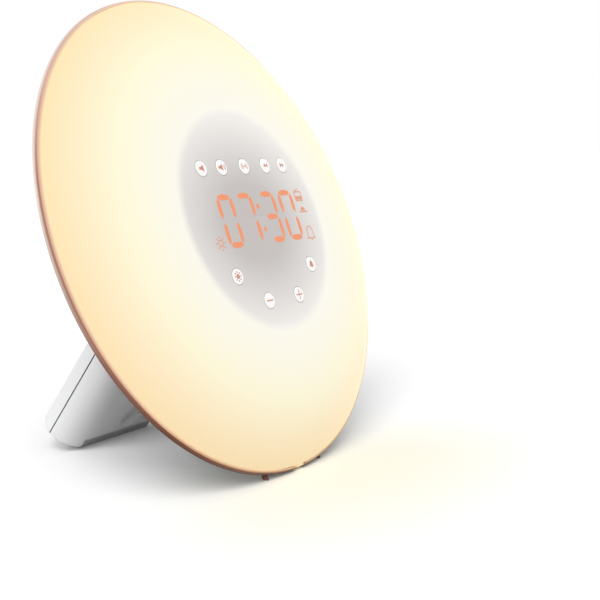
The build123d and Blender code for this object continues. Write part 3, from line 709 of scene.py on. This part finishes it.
# ------------------------------------------------------------ studio
def background_share(tree):
    """1 where a ray comes from the camera, a mirror or a pane, so that it sees plain white."""
    path = add(tree, "ShaderNodeLightPath")
    first = add(tree, "ShaderNodeMath", operation="MAXIMUM")
    second = add(tree, "ShaderNodeMath", operation="MAXIMUM")
    tree.links.new(path.outputs["Is Camera Ray"], first.inputs[0])
    tree.links.new(path.outputs["Is Glossy Ray"], first.inputs[1])
    tree.links.new(first.outputs[0], second.inputs[0])
    tree.links.new(path.outputs["Is Transmission Ray"], second.inputs[1])
    return second.outputs[0]


FLOOR_SIZE = 12.0
FLOOR_COLOR = 0.9
FLOOR_LIGHT = 0.05
FLOOR_BOUNCE = 0.47          # what the floor gives back to the object
AMBIENT = 0.25
# painted pool of the lamp's warm light on the table: its middle, half length and half width in mm, and its tint
POOL_MIDDLE = (10.0, -75.0)
POOL_REACH = (150.0, 82.0)
POOL_TINT = (0.9, 0.885, 0.775, 1.0)


def painted_light_pool(tree):
    """Node output: white, but for a soft oval of painted warm light where the lamp lights the table."""
    place = add(tree, "ShaderNodeTexCoord")
    spot = add(tree, "ShaderNodeMapping", vector_type="TEXTURE")
    spot.inputs["Location"].default_value = (POOL_MIDDLE[0] * MM, POOL_MIDDLE[1] * MM, 0.0)
    spot.inputs["Scale"].default_value = (POOL_REACH[0] * MM, POOL_REACH[1] * MM, 1.0)
    tree.links.new(place.outputs["Object"], spot.inputs["Vector"])
    far = add(tree, "ShaderNodeVectorMath", operation="LENGTH")
    tree.links.new(spot.outputs["Vector"], far.inputs[0])
    fade = add(tree, "ShaderNodeMapRange", interpolation_type="SMOOTHSTEP")
    tree.links.new(far.outputs["Value"], fade.inputs["Value"])
    tint = add(tree, "ShaderNodeMix", data_type="RGBA")
    tree.links.new(fade.outputs[0], tint.inputs[0])
    tint.inputs[6].default_value = POOL_TINT
    tint.inputs[7].default_value = (1.0, 1.0, 1.0, 1.0)
    return tint.outputs[2]


def make_studio():
    """White floor that keeps the shadow, and a white surround."""
    world = bpy.data.worlds.new("studio_surround")
    bpy.context.scene.world = world
    world.use_nodes = True
    tree = world.node_tree
    tree.nodes.clear()
    out = add(tree, "ShaderNodeOutputWorld")
    ambient = add(tree, "ShaderNodeBackground")
    ambient.inputs["Color"].default_value = (1.0, 1.0, 1.0, 1.0)
    ambient.inputs["Strength"].default_value = AMBIENT
    plain = add(tree, "ShaderNodeBackground")
    plain.inputs["Color"].default_value = (1.0, 1.0, 1.0, 1.0)
    mix = add(tree, "ShaderNodeMixShader")
    tree.links.new(background_share(tree), mix.inputs[0])
    tree.links.new(ambient.outputs[0], mix.inputs[1])
    tree.links.new(plain.outputs[0], mix.inputs[2])
    tree.links.new(mix.outputs[0], out.inputs[0])

    half = FLOOR_SIZE / 2
    mesh = bpy.data.meshes.new("studio_floor")
    mesh.from_pydata([(-half, -half, 0), (half, -half, 0), (half, half, 0), (-half, half, 0)], [], [(0, 1, 2, 3)])
    floor = bpy.data.objects.new("studio_floor", mesh)
    bpy.context.scene.collection.objects.link(floor)
    material, tree, shader = new_material("studio_paper")
    tint = painted_light_pool(tree)
    paper = add(tree, "ShaderNodeMix", data_type="RGBA", blend_type="MULTIPLY")
    paper.inputs[0].default_value = 1.0
    paper.inputs[7].default_value = (FLOOR_COLOR,) * 3 + (1.0,)
    tree.links.new(tint, paper.inputs[6])
    tree.links.new(paper.outputs[2], shader.inputs["Base Color"])
    shader.inputs["Roughness"].default_value = 0.9
    shader.inputs["Specular IOR Level"].default_value = 0.0
    lift = add(tree, "ShaderNodeEmission")
    tree.links.new(tint, lift.inputs["Color"])
    lift.inputs["Strength"].default_value = FLOOR_LIGHT
    both = add(tree, "ShaderNodeAddShader")
    tree.links.new(shader.outputs[0], both.inputs[0])
    tree.links.new(lift.outputs[0], both.inputs[1])
    seen = add(tree, "ShaderNodeMixShader")
    bounce = add(tree, "ShaderNodeBsdfDiffuse")
    bounce.inputs["Color"].default_value = (FLOOR_BOUNCE,) * 3 + (1.0,)
    tree.links.new(background_share(tree), seen.inputs[0])
    tree.links.new(bounce.outputs[0], seen.inputs[1])
    tree.links.new(both.outputs[0], seen.inputs[2])
    tree.links.new(seen.outputs[0], tree.nodes["Material Output"].inputs["Surface"])
    mesh.materials.append(material)


def add_sky_light(name, way, spread, power):
    """Soft light from far off that comes along this way."""
    data = bpy.data.lights.new(name, "SUN")
    data.angle, data.energy = math.radians(spread), power
    lamp = bpy.data.objects.new(name, data)
    lamp.rotation_mode = "QUATERNION"
    lamp.rotation_quaternion = Vector(way).to_track_quat("-Z", "Y")
    lamp.visible_glossy = False      # gloss already meets the white surround
    bpy.context.scene.collection.objects.link(lamp)


make_studio()
add_sky_light("key_light", (0.85, 0.45, -0.9), 42.0, 3.0)
add_sky_light("fill_light", (-0.5, 0.5, -1.0), 50.0, 0.42)
add_sky_light("rear_light", (-0.1, -0.8, -1.0), 45.0, 0.45)

bpy.context.scene.view_settings.view_transform = "Standard"
bpy.context.view_layer.update()
